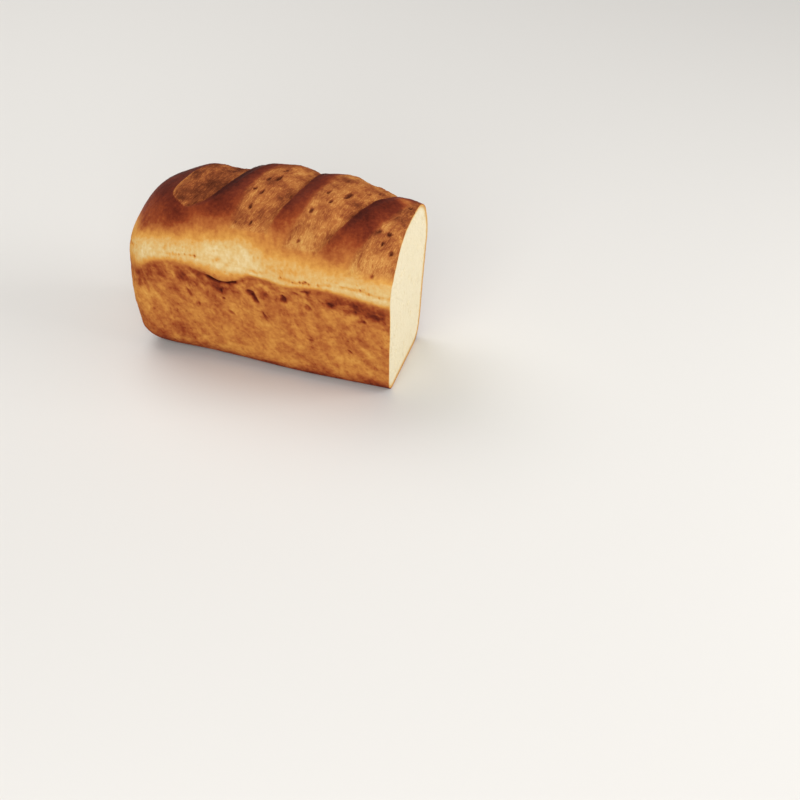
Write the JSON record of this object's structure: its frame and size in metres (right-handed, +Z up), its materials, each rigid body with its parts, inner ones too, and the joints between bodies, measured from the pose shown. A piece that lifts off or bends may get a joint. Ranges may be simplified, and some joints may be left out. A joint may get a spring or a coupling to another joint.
{
  "type": "tin loaf",
  "caption": "Tin loaf of white bread with a domed, diagonally slashed crust and flared tin-shaped sides, cut across at one end to show the crumb.",
  "frame": {"origin": "middle of the bounding box, at the surface that the loaf stands on", "axes": "+X along the loaf towards its cut face, +Y to its back, +Z up"},
  "size_m": [0.2088, 0.0974, 0.1419],
  "materials": {
    "crust": "baked bread crust, golden to dark brown, with a low sheen",
    "crumb": "soft white bread crumb, matt and finely pored"
  },
  "bodies": {
    "root": {"loaf": "crust"}
  },
  "joints": []
}
